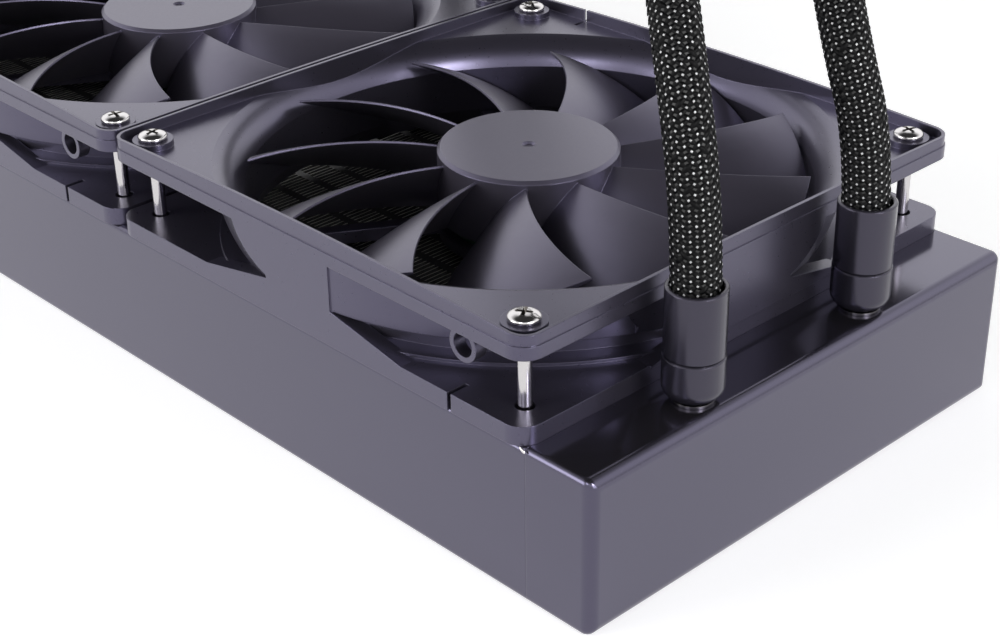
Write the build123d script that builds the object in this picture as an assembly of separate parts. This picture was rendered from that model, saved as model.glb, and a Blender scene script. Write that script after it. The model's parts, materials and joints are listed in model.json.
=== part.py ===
from build123d import *
import os
from math import cos, pi, radians, sin, tan

# All-in-one liquid cooler for a computer's processor: a radiator lying flat, two square fans
# screwed on top of it, two braided hoses and a pump block. Millimetres, +Z up. The origin is the
# middle of the radiator's screw-hole pattern, on its underside; +X points to the hose end.

os.makedirs("parts", exist_ok=True)

# Fit allowances
seat_gap = 0.02            # a pressed or brazed piece in its seat
running_gap = 0.03         # a shaft in its bearing, measured on the radius
thread_gap = 0.05          # a screw's shank in its hole, on the radius

# Fan frame, in the fan's own height from its underside
fan_size = 139.6
fan_half = fan_size / 2
fan_pitch = fan_size + 0.4
fan_hole_spacing = fan_size - 15.1
fan_corner_radius = 5.0
lower_flange_thickness = 4.3
lower_flange_inset = 0.5   # at the two ends along X
upper_flange_bottom = 19.2
web_height = 22.2          # the sunk corner webs round the inlet
boss_height = 23.7
boss_radius = 4.8
rim_corner_height = 24.5
rim_long_side_height = 26.0
rim_short_side_height = 25.2
rim_wall = 1.1
rim_step = 0.25            # from the flange's side to the rim's outside
flange_hole_radius = 2.15
bore_radius = fan_half - 3.3
inlet_throat_height = 15.5
inlet_lip_radius = fan_half + 3.6
outlet_flare_radius = fan_half - 1.4
outlet_flare_height = 4.0
barrel_foot_radius = fan_half + 3.2
barrel_foot_height = 5.1
waist_radius = fan_half - 1.4    # outside of the barrel, under the bell
waist_height = 8.5
bell_foot_radius = fan_half + 0.5
bell_top_radius = fan_half + 3.4
side_wall_depth = 4.0      # flush wall pieces at the middle of each side
side_wall_foot = 0.48 * fan_half
side_wall_half = 11.0
lead_ring_radius = 3.8
lead_ring_wall = 1.15
lead_ring_place = 0.75 * fan_half
lead_ring_height = 16.9
lead_ring_length = 3.0
slit_place = 0.69 * fan_half
slit_width = 1.1
slit_depth = 5.0

# Motor carrier in the fan's outlet
carrier_radius = 21.5
carrier_thickness = 2.6
carrier_floor = 1.2
strut_count = 4
strut_width = 3.6
strut_thickness = 3.2
strut_lean = 14.0          # degrees between a strut and the radius
bearing_radius = 4.0
bearing_tube_wall = 1.2
bearing_tube_top = 15.0
bearing_top = 14.4
fan_shaft_radius = 1.5
shaft_groove_radius = 1.1
clip_radius = 2.6
clip_thickness = 0.3
clip_height = 1.95
board_radius = 18.6
board_thickness = 1.2
stator_bottom = 6.2
stator_top = 12.2
stator_radius = 16.2
stator_ring_radius = 8.2
pole_count = 4
pole_width = 5.0
pole_shoe_depth = 1.6
pole_shoe_half_angle = 36.0
coil_wall = 2.0
coil_inner_reach = 8.6
coil_outer_reach = 14.2

# Fan rotor
hub_radius = 21.5
hub_bottom = 5.4
hub_top = 22.0
hub_wall = 1.65
hub_roof = 1.8
hub_edge = 0.8
dimple_radius = 1.7
dimple_depth = 0.6
hub_boss_radius = 3.2
hub_boss_bottom = 16.0
yoke_wall = 0.8
yoke_bottom = 6.2
magnet_wall = 1.9
magnet_bottom = 6.8
magnet_top = 15.6
blade_count = 11
blade_tip_gap = 0.9
blade_thickness = 1.7
blade_edge_thickness = 0.55
blade_camber = 0.62        # of the drop, at an even rate; the rest steepens towards the trailing edge
blade_half_chord = 15.0    # degrees about the axis, at the hub
blade_half_chord_loss = 2.0
blade_root_height = 20.2   # leading edge at the hub
blade_rise = 0.09          # per millimetre outward
blade_rise_loss = 0.0022
blade_sweep = 0.16         # degrees per millimetre outward
blade_sweep_gain = 0.0029
blade_trail_height = 5.2
blade_trail_rise = 0.6
fan_phases = {"fan_1": -45.7, "fan_2": -50.0}   # degrees, one blade's leading edge at the hub

# Fan screws
screw_radius = 1.4
screw_length = 26.0
screw_head_radius = 3.5
screw_head_height = 1.9
screw_head_rim = 0.5
recess_length = 4.4
recess_width = 1.0
recess_depth = 1.3

# Radiator
radiator_width = fan_size - 2.1
radiator_height = 37.0
hose_end_overhang = 16.8   # past the fans
far_end_overhang = 20.2
hose_tank_length = 18.0
far_tank_length = 21.4
tank_wall = 1.4
end_edge_radius = 2.6
long_edge_radius = 1.5
channel_wall = 1.5
channel_lip = 11.25
foot_hole_radius = 1.2     # in the lower lips, drilled for tapping
header_thickness = 1.5
header_inset = 0.2
tube_count = 12
core_width = fan_hole_spacing - 4.9      # between the screws
tube_pitch = core_width / (tube_count + 1)
tube_thickness = 2.0
tube_wall = 0.35
tube_overhang = 1.0        # of a tube past its header
core_depth = radiator_height - 7
fin_sheet = 0.5
fin_folds = 20
core_plate_thickness = 1.2

# Hose fittings
port_spacing = 55.2
port_offset = -3.8
port_from_end = 7.6
neck_radius = 3.2
neck_insertion = 2.2
neck_rise = 0.9            # from the tank to the fitting's rounded end
collar_radius = 4.7
collar_height = 0.7
fitting_radius = 6.6
ferrule_radius = 6.45
fitting_round = 3.2
fitting_seam = 10.8        # from the tank to the seam under the ferrule
ferrule_top = 26.0
ferrule_bore = 5.35
ferrule_edge = 0.3
coolant_radius = 2.2
hose_radius = 5.3

# Pump block, on the floor beside the radiator
pump_x = -118.0
pump_y = 118.0
base_size = 62.0
plate_size = base_size - 6
plate_thickness = 3.0
plate_corner = 6.0
plate_screw_place = plate_size / 2 - 7.5
plate_screw_radius = 1.1
plate_screw_head_radius = 2.2
plate_screw_head_depth = 1.3
plate_screw_reach = plate_thickness + 3
skived_fin_count = 13
skived_fin_pitch = 1.9
skived_fin_thickness = 0.8
skived_fin_height = 3.0
skived_fin_length = 24.0
gasket_size = plate_size - 6
gasket_width = 2.0
gasket_thickness = 1.2
gasket_corner = 5.0
gasket_groove = 0.9
base_corner = 10.0
ledge_height = 8.0
base_upper_size = base_size - 6
base_top = 25.0
chamber_size = gasket_size - 16
chamber_top = 7.6
cavity_radius = base_size / 2 - 11
cavity_bottom = 13.0
port_height = 18.0
pump_port_spacing = 22.0
elbow_clearance = 10.0     # from the pump's housing to the hose's middle
elbow_edge = 1.2
inlet_hole_circle = 6.5
inlet_hole_radius = 2.2
impeller_shaft_radius = 1.25
shaft_seat_depth = 2.5
impeller_radius = cavity_radius - 1.6
impeller_disc_bottom = 16.4
impeller_disc_top = 18.0
vane_bottom = 14.0
vane_count = 6
vane_thickness = 1.2
impeller_hub_radius = 5.0
can_height = base_top + 12          # outside top of the can
can_inner_radius = cavity_radius - 7
can_wall = 1.0
impeller_top = can_height - 3
impeller_magnet_radius = can_inner_radius - 0.8
impeller_magnet_bottom = base_top + 1.2
divider_size = base_size - 8
divider_thickness = 1.2
pump_stator_radius = base_size / 2 - 7
pump_stator_bottom = base_top + 2.2
pump_stator_top = can_height - 3
pump_pole_count = 6
pump_pole_width = 4.0
post_radius = 1.8
post_place = divider_size / 2 - 5.5
pump_board_bottom = can_height + 1.6
pump_board_thickness = 1.6
pump_board_size = divider_size - 7
pump_board_corner = 4.0
pump_housing_top = can_height + 13
pump_housing_wall = 2.0
pump_housing_edge = 2.0
cap_radius = base_size / 2 - 8
cap_thickness = 1.2
bracket_spacing = 75.0
bracket_thickness = 1.5
bracket_hole_radius = 2.0
bracket_eye_radius = 4.6
bracket_arm_width = 8.0
bracket_band = 3.0
gland_radius = 3.0
gland_bore = 1.7
gland_length = 6.0
gland_collar_radius = 4.2
gland_collar_length = 1.6
gland_height = 30.0

# Places that follow from the sizes above
fan_places = {"fan_1": fan_pitch / 2, "fan_2": -fan_pitch / 2}
hose_end_x = fan_pitch + hose_end_overhang
far_end_x = -fan_pitch - far_end_overhang
hose_tank_x = hose_end_x - hose_tank_length
far_tank_x = far_end_x + far_tank_length
port_x = hose_end_x - port_from_end
port_ys = {"near": port_offset - port_spacing / 2, "far": port_offset + port_spacing / 2}
pump_face_x = pump_x + base_upper_size / 2
pump_hose_x = pump_x + base_size / 2 + elbow_clearance
elbow_reach = pump_hose_x - pump_face_x
pump_port_ys = {"near": pump_y - pump_port_spacing / 2, "far": pump_y + pump_port_spacing / 2}

# The hoses' corners, from the radiator over the fans and down to the pump, without the two ends
hose_corners = {
    "near": [(port_x, port_ys["near"], 75.4), (135.8, -24.2, 108.6), (113.2, -6.4, 132.8),
             (84.4, 14.2, 144.7), (48.5, 38.8, 147.2), (10.0, 58.8, 143.6), (-21.5, 75.6, 133.4),
             (-46.6, 89.5, 117.0), (-66.2, 100.6, 92.7), (pump_hose_x, pump_port_ys["near"], 62.1)],
    "far": [(port_x, port_ys["far"], 73.8), (140.0, 22.9, 99.2), (121.6, 35.0, 127.2), (87.3, 54.2, 144.4),
            (46.9, 76.2, 147.7), (3.8, 91.9, 141.8), (-24.4, 103.8, 131.2), (-48.8, 115.1, 113.9),
            (-67.3, 124.0, 90.0), (pump_hose_x, pump_port_ys["far"], 60.4)],
}


def block(x0, x1, y0, y1, z0, z1):
    """A box between two corners."""
    return Pos((x0 + x1) / 2, (y0 + y1) / 2, (z0 + z1) / 2) * Box(x1 - x0, y1 - y0, z1 - z0)


def rod(radius, bottom, top, x=0, y=0):
    """An upright cylinder."""
    upright = Cylinder(radius, top - bottom, align=(Align.CENTER, Align.CENTER, Align.MIN))
    return Pos(x, y, bottom) * upright


def ring(outer, inner, bottom, top, x=0, y=0):
    """An upright tube."""
    return rod(outer, bottom, top, x, y) - rod(inner, bottom - 1, top + 1, x, y)


def rounded_slab(size_x, size_y, corner, bottom, top):
    """A plate with four round corners, standing between two heights."""
    outline = RectangleRounded(size_x, size_y, corner)
    return extrude(Plane.XY.offset(bottom) * outline, top - bottom)


def turned(outline):
    """A solid of revolution about Z from a closed outline of lines and arcs in the XZ plane."""
    return revolve(make_face(outline), Axis.Z)


def lines(*points):
    """A chain of straight lines through points given as (radius, height)."""
    return Polyline(*[(r, 0, z) for r, z in points])


def four_ways(shape):
    """Copies of a shape turned about Z by quarter turns."""
    return [Rot(0, 0, 90 * k) * shape for k in range(4)]


def corners_of(spacing_x, spacing_y):
    """The four corner points of a rectangle round the origin."""
    return [(x, y) for x in (-spacing_x / 2, spacing_x / 2) for y in (-spacing_y / 2, spacing_y / 2)]


def save(name, shape):
    """Writes one piece, or one group of like pieces, to its own file."""
    export_step(shape, f"parts/{name}.step")


# Fan frame


def air_passage():
    """The space inside the fan: a flared outlet, a straight bore and a bell-mouth inlet."""
    below = -1.0
    above = rim_long_side_height + 2
    foot = lines((0, below), (outlet_flare_radius, below), (outlet_flare_radius, 0),
                 (bore_radius, outlet_flare_height), (bore_radius, inlet_throat_height))
    middle_height = (inlet_throat_height + web_height) / 2 + 0.7
    middle_radius = (bore_radius + inlet_lip_radius) / 2 - 0.9
    bell = ThreePointArc((bore_radius, 0, inlet_throat_height), (middle_radius, 0, middle_height),
                         (inlet_lip_radius, 0, web_height))
    roof = lines((inlet_lip_radius, web_height), (inlet_lip_radius, above), (0, above), (0, below))
    passage = turned(foot + bell + roof)
    inside = fan_size - 2 * rim_wall
    return passage & rounded_slab(inside, inside, fan_corner_radius - rim_wall, below, above)


def fan_barrel():
    """The outside of the fan's barrel: a waist, then the foot and flare of the bell."""
    flare_height = (waist_height + upper_flange_bottom) / 2
    flare_radius = (bell_foot_radius + bell_top_radius) / 2 + 0.5
    lower = lines((bore_radius - 5, 0), (barrel_foot_radius, 0), (barrel_foot_radius, barrel_foot_height),
                  (waist_radius, barrel_foot_height), (waist_radius, waist_height),
                  (bell_foot_radius, waist_height))
    flare = ThreePointArc((bell_foot_radius, 0, waist_height), (flare_radius, 0, flare_height),
                          (bell_top_radius, 0, upper_flange_bottom))
    upper = lines((bell_top_radius, upper_flange_bottom), (bell_top_radius, web_height),
                  (bore_radius - 5, web_height), (bore_radius - 5, 0))
    barrel = turned(lower + flare + upper)
    foot_length = fan_size - 2 * lower_flange_inset
    room = rounded_slab(foot_length, fan_size, fan_corner_radius, 0, waist_height)
    room += rounded_slab(fan_size, fan_size, fan_corner_radius, waist_height, web_height)
    return barrel & room


def side_wall():
    """The flush wall at the middle of one side, wider at its foot where the outlet flares."""
    half = fan_size / 2
    outline = Polyline((-side_wall_foot, 0, lower_flange_thickness - 0.5),
                       (side_wall_foot, 0, lower_flange_thickness - 0.5),
                       (side_wall_foot, 0, lower_flange_thickness),
                       (side_wall_half, 0, waist_height),
                       (side_wall_half, 0, upper_flange_bottom + 0.5),
                       (-side_wall_half, 0, upper_flange_bottom + 0.5),
                       (-side_wall_half, 0, waist_height),
                       (-side_wall_foot, 0, lower_flange_thickness), close=True)
    wall = extrude(make_face(outline), side_wall_depth, dir=(0, 1, 0))
    return Pos(0, -half, 0) * wall


def rim_side(height):
    """One side of the rim round the inlet; its top edge bows up a little to the middle."""
    half = fan_size / 2
    bow = ThreePointArc((-half, 0, rim_corner_height), (0, 0, height), (half, 0, rim_corner_height))
    foot = Polyline((half, 0, rim_corner_height), (half, 0, web_height - 1),
                    (-half, 0, web_height - 1), (-half, 0, rim_corner_height))
    wall = extrude(make_face(bow + foot), fan_corner_radius, dir=(0, 1, 0))
    return Pos(0, -half, 0) * wall


def strut():
    """A bar that carries the motor, from the carrier to the barrel."""
    reach = bore_radius + 1.0
    start = carrier_radius - 2.0
    bar = block(0, reach + 2 - start, -strut_width / 2, strut_width / 2, 0, strut_thickness)
    return Rot(0, 0, 45) * Pos(start, 0, 0) * Rot(0, 0, strut_lean) * bar


def fan_frame():
    """The moulded frame: two flanges, the barrel, the motor's carrier and its struts."""
    lower_length = fan_size - 2 * lower_flange_inset
    lower = rounded_slab(lower_length, fan_size, fan_corner_radius, 0, lower_flange_thickness)
    upper = rounded_slab(fan_size, fan_size, fan_corner_radius, upper_flange_bottom, web_height)
    frame = lower + upper + fan_barrel()
    frame += four_ways(side_wall())
    rim_outside = fan_size - 2 * rim_step
    rim_blank = rounded_slab(rim_outside, rim_outside, fan_corner_radius - rim_step,
                             web_height - 1, rim_long_side_height + 1)
    rim_inside = fan_size - 2 * rim_wall
    rim_blank -= rounded_slab(rim_inside, rim_inside, fan_corner_radius - rim_wall,
                              web_height - 2, rim_long_side_height + 2)
    heights = [rim_long_side_height, rim_short_side_height] * 2
    sides = [Rot(0, 0, 90 * k) * rim_side(height) for k, height in enumerate(heights)]
    frame += [rim_blank & side for side in sides]
    frame += [rod(boss_radius, upper_flange_bottom + 1, boss_height, x, y)
              for x, y in corners_of(fan_hole_spacing, fan_hole_spacing)]
    frame = frame - air_passage()
    frame -= [rod(flange_hole_radius, -1, boss_height + 1, x, y)
              for x, y in corners_of(fan_hole_spacing, fan_hole_spacing)]
    frame -= lead_recess()
    half = fan_size / 2
    frame -= block(slit_place - slit_width / 2, slit_place + slit_width / 2, -half - 1, -half + slit_depth,
                   -1, lower_flange_thickness + 1)
    frame -= block(-slit_place - slit_width / 2, -slit_place + slit_width / 2, half - slit_depth, half + 1,
                   upper_flange_bottom - 1, rim_long_side_height + 1)
    frame += motor_carrier()
    frame += lead_ring()
    return frame


def lead_recess():
    """Room beside one side wall, where the bell is cut back to its foot for the motor's lead."""
    half = fan_size / 2
    room = block(side_wall_half, half - 6, -half - 1, -fan_hole_spacing / 4,
                 waist_height, upper_flange_bottom)
    return room - rod(bell_foot_radius, waist_height - 1, upper_flange_bottom + 1)


def lead_ring():
    """A small moulded ring under the upper flange that the motor's lead is threaded through."""
    half = fan_size / 2
    outer = Cylinder(lead_ring_radius, lead_ring_length, align=(Align.CENTER, Align.CENTER, Align.MIN))
    inner = Cylinder(lead_ring_radius - lead_ring_wall, lead_ring_length + 2)
    hoop = Rot(90, 0, 0) * (outer - Pos(0, 0, lead_ring_length / 2) * inner)
    place = Pos(lead_ring_place, -half + lead_ring_length + 0.3, lead_ring_height)
    below_web = block(0, half, -half, 0, 0, upper_flange_bottom + 0.4)
    return (place * hoop) & below_web


def motor_carrier():
    """The disc, bearing tube and struts in the outlet that hold the motor."""
    tube_radius = bearing_radius + bearing_tube_wall
    carrier = rod(carrier_radius, 0, carrier_thickness)
    carrier += rod(tube_radius, 0, bearing_tube_top)
    carrier -= rod(bearing_radius, carrier_floor, bearing_tube_top + 1)
    struts = [Rot(0, 0, 360 / strut_count * k) * strut() for k in range(strut_count)]
    reach = rod(bore_radius + 1.0, -1, strut_thickness + 1)
    struts = [(bar & reach) - rod(bearing_radius, carrier_floor, bearing_tube_top) for bar in struts]
    return carrier + struts


# Fan rotor


def leading_edge(radius):
    """Angle in degrees from the hub's blade root, and height, of the leading edge at a radius."""
    out = radius - hub_radius
    angle = blade_sweep * out + blade_sweep_gain * out ** 2
    height = blade_root_height + blade_rise * out - blade_rise_loss * out ** 2
    return angle, height


def blade_station(radius, phase):
    """The closed outline of the blade's section at one radius, on a plane that faces outward."""
    tip_radius = bore_radius - blade_tip_gap
    share = (radius - hub_radius) / (tip_radius - hub_radius)
    half_chord = blade_half_chord - blade_half_chord_loss * share
    trailing_height = blade_trail_height + blade_trail_rise * share
    angle, leading_height = leading_edge(radius)
    middle = radians(phase + angle - half_chord)
    plane_radius = radius * cos(radians(half_chord))
    half_width = radius * sin(radians(half_chord))
    drop = leading_height - trailing_height
    plane = Plane(origin=(plane_radius * cos(middle), plane_radius * sin(middle), 0),
                  x_dir=(-sin(middle), cos(middle), 0), z_dir=(cos(middle), sin(middle), 0))
    upper = []
    lower = []
    for u in (0.0, 0.3, 0.65, 1.0):
        x = half_width * (1 - 2 * u)
        y = leading_height - drop * (blade_camber * u + (1 - blade_camber) * u ** 2)
        steepness = blade_camber + 2 * (1 - blade_camber) * u
        slope = Vector(-2 * half_width, -drop * steepness).normalized()
        bulge = blade_edge_thickness + (blade_thickness - blade_edge_thickness) * 4 * u * (1 - u)
        across = Vector(slope.Y, -slope.X) * (bulge / 2)
        upper.append(plane.from_local_coords(Vector(x, y) + across))
        lower.append(plane.from_local_coords(Vector(x, y) - across))
    edges = [Spline(upper), Line(upper[-1], lower[-1]), Spline(lower[::-1]), Line(lower[0], upper[0])]
    return Wire([edge.edge() for edge in edges])


def blade(phase):
    """One swept, cambered blade, lofted from the hub's skirt out past the tip circle."""
    tip_radius = bore_radius - blade_tip_gap
    first = hub_radius - 1.2
    last = tip_radius + 3.0
    stations = [first + share * (last - first) for share in (0, 0.28, 0.62, 1)]
    return Solid.make_loft([blade_station(radius, phase) for radius in stations])


def fan_rotor(phase):
    """The moulded hub with its ring of blades."""
    inner = hub_radius - hub_wall
    ceiling = hub_top - hub_roof
    outline = lines((fan_shaft_radius + seat_gap, hub_boss_bottom), (hub_boss_radius, hub_boss_bottom),
                    (hub_boss_radius, ceiling), (inner, ceiling), (inner, hub_bottom),
                    (hub_radius, hub_bottom), (hub_radius, hub_top - hub_edge),
                    (hub_radius - hub_edge, hub_top), (dimple_radius, hub_top),
                    (dimple_radius - 0.5, hub_top - dimple_depth), (0, hub_top - dimple_depth),
                    (0, ceiling), (fan_shaft_radius + seat_gap, ceiling),
                    (fan_shaft_radius + seat_gap, hub_boss_bottom))
    hub = turned(outline)
    tip_circle = rod(bore_radius - blade_tip_gap, 0, rim_long_side_height)
    hollow = rod(inner, hub_bottom - 2, ceiling) + rod(hub_radius - 0.5, 0, hub_bottom)
    pieces = []
    for k in range(blade_count):
        pieces.append((blade(phase + 360 / blade_count * k) & tip_circle) - hollow)
    return hub + pieces


def fan_shaft():
    """The rotor's steel shaft, with a groove for the clip near its foot."""
    groove_bottom = clip_height - 0.05
    groove_top = clip_height + clip_thickness + 0.05
    return turned(lines((0, carrier_floor + 0.3), (fan_shaft_radius, carrier_floor + 0.3),
                        (fan_shaft_radius, groove_bottom), (shaft_groove_radius, groove_bottom),
                        (shaft_groove_radius, groove_top), (fan_shaft_radius, groove_top),
                        (fan_shaft_radius, hub_top - hub_roof), (0, hub_top - hub_roof),
                        (0, carrier_floor + 0.3)))


def fan_pieces(name):
    """Every piece of one fan, in the fan's own frame."""
    yoke_radius = hub_radius - hub_wall - seat_gap
    ceiling = hub_top - hub_roof - seat_gap
    magnet_radius = yoke_radius - yoke_wall - seat_gap
    yoke = rod(yoke_radius, yoke_bottom, ceiling)
    yoke -= rod(yoke_radius - yoke_wall, yoke_bottom - 1, ceiling - yoke_wall)
    yoke -= rod(hub_boss_radius + seat_gap, yoke_bottom, ceiling + 1)
    board_bottom = carrier_thickness
    tube_radius = bearing_radius + bearing_tube_wall
    return {
        "frame": fan_frame(),
        "rotor": fan_rotor(fan_phases[name]),
        "shaft": fan_shaft(),
        "yoke": yoke,
        "magnet": ring(magnet_radius, magnet_radius - magnet_wall, magnet_bottom, magnet_top),
        "stator": fan_stator(),
        "coils": fan_coils(),
        "board": ring(board_radius, tube_radius + seat_gap, board_bottom, board_bottom + board_thickness),
        "bearing": ring(bearing_radius - seat_gap, fan_shaft_radius + running_gap,
                        clip_height + clip_thickness + 0.35, bearing_top),
        "clip": ring(clip_radius, shaft_groove_radius + seat_gap, clip_height, clip_height + clip_thickness),
        "screws": fan_screws(),
    }


def fan_stator():
    """The laminated stator core: a ring on the bearing tube and poles with curved shoes."""
    tube_radius = bearing_radius + bearing_tube_wall + seat_gap
    core = ring(stator_ring_radius, tube_radius, stator_bottom, stator_top)
    shoes = ring(stator_radius, stator_radius - pole_shoe_depth, stator_bottom, stator_top)
    half_shoe = stator_radius * sin(radians(pole_shoe_half_angle))
    poles = []
    for k in range(pole_count):
        turn = Rot(0, 0, 360 / pole_count * k)
        neck = block(stator_ring_radius - 1.0, stator_radius - pole_shoe_depth + 0.3,
                     -pole_width / 2, pole_width / 2, stator_bottom, stator_top)
        wedge = block(0, stator_radius + 1, -half_shoe, half_shoe, stator_bottom, stator_top)
        poles.append(turn * neck)
        poles.append((turn * wedge) & shoes)
    return core + poles


def fan_coils():
    """The four windings, each round the neck of a pole."""
    half_width = pole_width / 2 + coil_wall
    coil = block(coil_inner_reach, coil_outer_reach, -half_width, half_width,
                 stator_bottom - coil_wall, stator_top + coil_wall)
    coil -= block(0, stator_radius, -pole_width / 2 - seat_gap, pole_width / 2 + seat_gap,
                  stator_bottom - seat_gap, stator_top + seat_gap)
    inside = rod(stator_radius - pole_shoe_depth - seat_gap, 0, 2 * stator_top)
    return Compound([(Rot(0, 0, 360 / pole_count * k) * coil & inside).solid() for k in range(pole_count)])


def screw(radius, length, head_radius, head_height, head_rim):
    """A pan-head screw that hangs from z = 0, with a cross recess in its head."""
    shank = lines((0, head_height), (0, -length), (radius - 0.3, -length), (radius, -length + 0.5),
                  (radius, 0), (head_radius, 0), (head_radius, head_rim))
    shoulder = head_rim + 0.72 * (head_height - head_rim)
    dome = ThreePointArc((head_radius, 0, head_rim), (0.6 * head_radius, 0, shoulder), (0, 0, head_height))
    body = turned(shank + dome)
    arm = block(-recess_length / 2, recess_length / 2, -recess_width / 2, recess_width / 2,
                head_height - recess_depth, head_height + 1)
    return body - (arm + Rot(0, 0, 90) * arm)


def fan_screws():
    """The four long screws that pass through both flanges into the radiator's lips."""
    one = screw(screw_radius, screw_length, screw_head_radius, screw_head_height, screw_head_rim)
    turns = (20, 65, 40, 10)
    places = corners_of(fan_hole_spacing, fan_hole_spacing)
    return Compound([(Pos(x, y, boss_height) * Rot(0, 0, turn) * one).solid()
                     for (x, y), turn in zip(places, turns)])


# Radiator


def screw_line():
    """The places along X of the radiator's screw holes."""
    return [x + side * fan_hole_spacing / 2 for x in fan_places.values() for side in (-1, 1)]


def side_channel(side):
    """A long folded side: an upright wall with a drilled lip at its top and foot."""
    y = radiator_width / 2
    length = hose_tank_x - far_tank_x
    outline = Plane.YZ * Rectangle(2 * channel_lip, radiator_height)
    outer = extrude(outline, length)
    outer = fillet(outer.edges().filter_by(Axis.X).group_by(Axis.Y)[0], long_edge_radius)
    outer = Pos(far_tank_x, channel_lip, radiator_height / 2) * outer
    outer &= block(far_tank_x, hose_tank_x, 0, channel_lip, 0, radiator_height)
    outer -= block(far_tank_x - 1, hose_tank_x + 1, channel_wall, channel_lip + 1,
                   channel_wall, radiator_height - channel_wall)
    hole_y = y - fan_hole_spacing / 2
    for x in screw_line():
        outer -= rod(foot_hole_radius, -1, 2 * channel_wall, x, hole_y)
        outer -= rod(screw_radius + thread_gap, radiator_height - 2 * channel_wall, radiator_height + 1,
                     x, hole_y)
    channel = Pos(0, -y, 0) * outer
    return channel if side < 0 else mirror(channel, Plane.XZ)


def tank_outside(length):
    """A tank's outside, open end at x = 0 and closed, rounded end at x = length."""
    body = block(0, length, -radiator_width / 2, radiator_width / 2, 0, radiator_height)
    end = body.faces().sort_by(Axis.X)[-1]
    body = fillet(end.edges(), end_edge_radius)
    long_edges = [edge for edge in body.edges().filter_by(Axis.X) if edge.length > length / 2]
    return fillet(long_edges, long_edge_radius)


def tank(length):
    """A hollow end tank, open where the header closes it."""
    half_width = radiator_width / 2 - tank_wall
    hollow = block(-1, length - tank_wall, -half_width, half_width, tank_wall, radiator_height - tank_wall)
    return tank_outside(length) - hollow


def hose_end_tank():
    """The tank at the hose end, with two holes for the fittings."""
    shell = Pos(hose_tank_x, 0, 0) * tank(hose_tank_length)
    holes = [rod(neck_radius + seat_gap, radiator_height - 2 * tank_wall, radiator_height + 1, port_x, y)
             for y in port_ys.values()]
    return shell - holes


def far_end_tank():
    """The plain tank at the other end."""
    return Pos(far_tank_x, 0, 0) * Rot(0, 0, 180) * tank(far_tank_length)


def tube_places():
    """The middle of each flat tube across the radiator."""
    return [(k - (tube_count - 1) / 2) * tube_pitch for k in range(tube_count)]


def header(x0, x1):
    """The slotted plate that closes a tank and holds the ends of the tubes."""
    half_width = radiator_width / 2 - tank_wall
    plate = block(x0, x1, -half_width, half_width, tank_wall, radiator_height - tank_wall)
    low = (radiator_height - core_depth) / 2
    half = tube_thickness / 2
    slots = [block(x0 - 1, x1 + 1, y - half, y + half, low, low + core_depth) for y in tube_places()]
    return plate - slots


def core_tubes():
    """The flat coolant tubes, from tank to tank."""
    reach_low = far_tank_x - header_inset - header_thickness - tube_overhang
    reach_high = hose_tank_x + header_inset + header_thickness + tube_overhang
    low = (radiator_height - core_depth) / 2
    tubes = []
    for y in tube_places():
        half = tube_thickness / 2
        tube = block(reach_low, reach_high, y - half, y + half, low, low + core_depth)
        tube -= block(reach_low - 1, reach_high + 1, y - half + tube_wall, y + half - tube_wall,
                      low + tube_wall, low + core_depth - tube_wall)
        tubes.append(tube.solid())
    return Compound(tubes)


def core_fins():
    """The folded fin strips between the tubes, with coarse folds."""
    gap = tube_pitch - tube_thickness
    low = (radiator_height - core_depth) / 2
    start = far_tank_x
    step = (hose_tank_x - far_tank_x) / (2 * fin_folds)
    slant = fin_sheet / cos(gap / (4 * step))
    strips = []
    for k in range(tube_count + 1):
        base = (k - (tube_count + 1) / 2) * tube_pitch + tube_thickness / 2
        near = [(start + step * n, base + (0 if n % 2 == 0 else gap - slant))
                for n in range(2 * fin_folds + 1)]
        far = [(x, y + slant) for x, y in near]
        strip = make_face(Polyline(*[(x, y, low) for x, y in near + far[::-1]], close=True))
        strips.append(extrude(strip, core_depth, dir=(0, 0, 1)).solid())
    return Compound(strips)


def core_plates():
    """The two thin plates that close the core beside its outer fins."""
    inner = (tube_count + 1) / 2 * tube_pitch - tube_thickness / 2
    low = (radiator_height - core_depth) / 2
    near = block(far_tank_x, hose_tank_x, -inner - core_plate_thickness, -inner, low, low + core_depth)
    return Compound([near, mirror(near, Plane.XZ).solid()])


# Hose fittings, upright on z = 0 with the hose leaving upward


def fitting_body():
    """The screwed-in half: a neck, a rounded foot and a plain barrel up to the seam."""
    arc_height = neck_rise + fitting_round
    middle = fitting_round * (1 - cos(pi / 4))
    foot = lines((coolant_radius, -neck_insertion), (neck_radius, -neck_insertion),
                 (neck_radius, neck_rise), (fitting_radius - fitting_round, neck_rise))
    bend = ThreePointArc((fitting_radius - fitting_round, 0, neck_rise),
                         (fitting_radius - middle, 0, neck_rise + middle),
                         (fitting_radius, 0, arc_height))
    barrel = lines((fitting_radius, arc_height), (fitting_radius, fitting_seam - ferrule_edge),
                   (fitting_radius - ferrule_edge, fitting_seam),
                   (coolant_radius, fitting_seam), (coolant_radius, -neck_insertion))
    return turned(foot + bend + barrel)


def fitting_collar():
    """The thin bright ring round the neck where it meets the tank."""
    return ring(collar_radius, neck_radius + seat_gap, 0, collar_height)


def fitting_ferrule():
    """The plain sleeve crimped round the hose's end, with broken edges."""
    edge = ferrule_edge
    return turned(lines((ferrule_bore, fitting_seam), (ferrule_radius - edge, fitting_seam),
                        (ferrule_radius, fitting_seam + edge), (ferrule_radius, ferrule_top - edge),
                        (ferrule_radius - edge, ferrule_top), (ferrule_bore + edge, ferrule_top),
                        (ferrule_bore, ferrule_top - edge), (ferrule_bore, fitting_seam)))


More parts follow.
